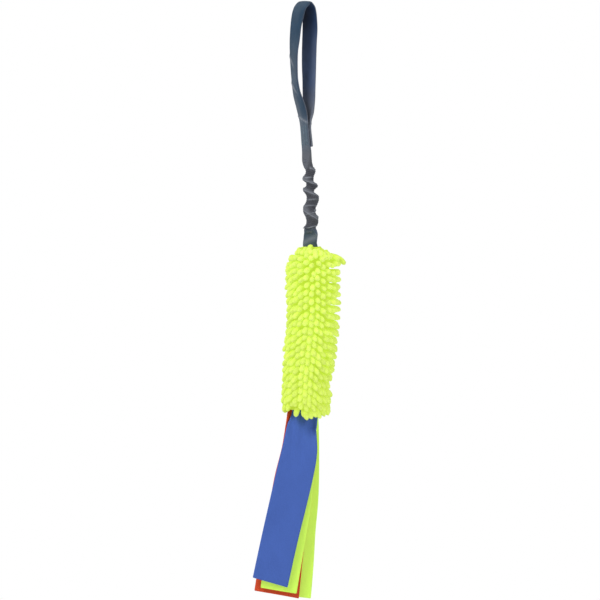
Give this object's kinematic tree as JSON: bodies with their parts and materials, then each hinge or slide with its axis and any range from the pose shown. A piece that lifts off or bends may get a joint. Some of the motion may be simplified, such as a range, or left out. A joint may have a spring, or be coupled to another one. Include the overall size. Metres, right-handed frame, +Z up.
{
  "type": "bungee tug toy",
  "caption": "Dog tug toy: webbing hand loop, gathered bungee, chenille mop body and fleece strip tails.",
  "frame": {"origin": "inner top of the hand loop, where a hook or a hand holds the hanging toy", "axes": "+Z up along the hanging toy, +X to the right seen from the front, where the blue tail is in front, +Y to the back"},
  "size_m": [0.1114, 0.0673, 0.7458],
  "materials": {
    "webbing": "matte",
    "webbing_thread": "satin",
    "cord_jacket": "matte",
    "cord_rubber": "matte",
    "chenille": "matte",
    "lime_thread": "satin",
    "wadding": "matte",
    "blue_fleece": "matte",
    "lime_fleece": "matte",
    "red_fleece": "matte"
  },
  "bodies": {
    "handle": {"handle_loop": "webbing", "handle_fold_stitch": "webbing_thread"},
    "bungee_upper": {"bungee_sleeve": "webbing", "shock_cord_jacket": "cord_jacket", "shock_cord_core": "cord_rubber", "cord_upper_bartack": "webbing_thread"},
    "bungee_lower": {"sleeve_lower_cuff": "webbing", "cord_lower_bartack": "webbing_thread"},
    "mop": {"core_strap": "webbing", "chenille_cover": "chenille", "cover_seam_thread": "lime_thread", "top_closure_stitch": "lime_thread", "bottom_closure_stitch": "lime_thread", "wadding_front": "wadding", "wadding_back": "wadding", "tail_roots": "lime_fleece", "tail_bartack": "webbing_thread"},
    "tail_blue": {"blue_tail": "blue_fleece"},
    "tail_lime_front": {"lime_tail_front": "lime_fleece"},
    "tail_red": {"red_tail": "red_fleece"},
    "tail_lime_back": {"lime_tail_back": "lime_fleece"}
  },
  "joints": [
    {"name": "handle_swing", "type": "hinge", "parent": "handle", "child": "bungee_upper", "pos_m": [0.003, 0, -0.185], "axis": [-0.515, 0.8572, 0], "range_deg": [-75, 75]},
    {"name": "bungee_stretch", "type": "slide", "parent": "bungee_upper", "child": "bungee_lower", "axis": [0, 0, -1], "range_m": [0, 0.09], "stiffness_N_per_m": 150, "springref_m": -0.0097, "deforming": ["bungee_sleeve", "shock_cord_jacket", "shock_cord_core"]},
    {"name": "mop_swing", "type": "hinge", "parent": "bungee_lower", "child": "mop", "pos_m": [0.008, 0, -0.289], "axis": [-0.788, 0.6157, 0], "range_deg": [-75, 75]},
    {"name": "blue_tail_lift", "type": "hinge", "parent": "mop", "child": "tail_blue", "pos_m": [0, -0.00465, -0.511], "axis": [-1, 0, 0], "range_deg": [0, 75]},
    {"name": "lime_front_tail_lift", "type": "hinge", "parent": "mop", "child": "tail_lime_front", "pos_m": [0, -0.00155, -0.511], "axis": [-1, 0, 0], "range_deg": [0, 37.5]},
    {"name": "lime_back_tail_lift", "type": "hinge", "parent": "mop", "child": "tail_lime_back", "pos_m": [0, 0.00465, -0.511], "axis": [1, 0, 0], "range_deg": [0, 75]},
    {"name": "red_tail_lift", "type": "hinge", "parent": "mop", "child": "tail_red", "pos_m": [0, 0.00155, -0.511], "axis": [1, 0, 0], "range_deg": [0, 37.5]}
  ],
  "couplings": [
    {"joint": "lime_front_tail_lift", "follows": "blue_tail_lift", "ratio": 0.5},
    {"joint": "red_tail_lift", "follows": "lime_back_tail_lift", "ratio": 0.5}
  ]
}
